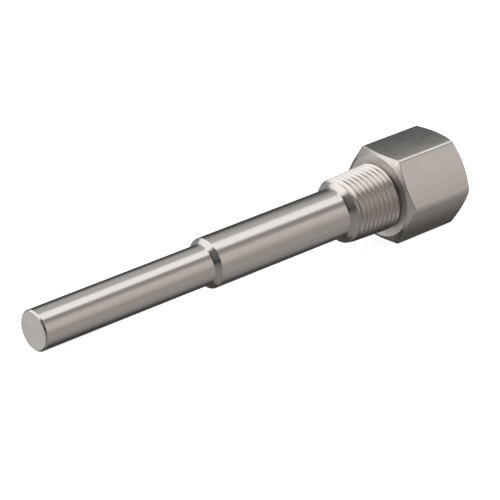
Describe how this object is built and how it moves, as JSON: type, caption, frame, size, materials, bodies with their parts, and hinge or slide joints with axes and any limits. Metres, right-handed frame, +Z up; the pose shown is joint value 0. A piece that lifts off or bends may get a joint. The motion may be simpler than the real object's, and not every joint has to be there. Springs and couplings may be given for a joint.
{
  "type": "thermowell",
  "caption": "Stepped metal thermowell: closed stem with a probe bore, tapered pipe thread and hexagon head with an instrument thread.",
  "frame": {"origin": "centre of the overall box's bottom face, with the well lying at rest on its tip and one hexagon flat", "axes": "+X from the closed tip to the hexagon along the well's length, +Z up; the well's own axis climbs about 3.4 degrees from tip to hexagon"},
  "size_m": [0.1596, 0.0326, 0.03],
  "materials": {
    "stainless_steel": "fine turned stem, satin hexagon flats"
  },
  "bodies": {
    "root": {"thermowell": "stainless_steel"}
  },
  "joints": []
}
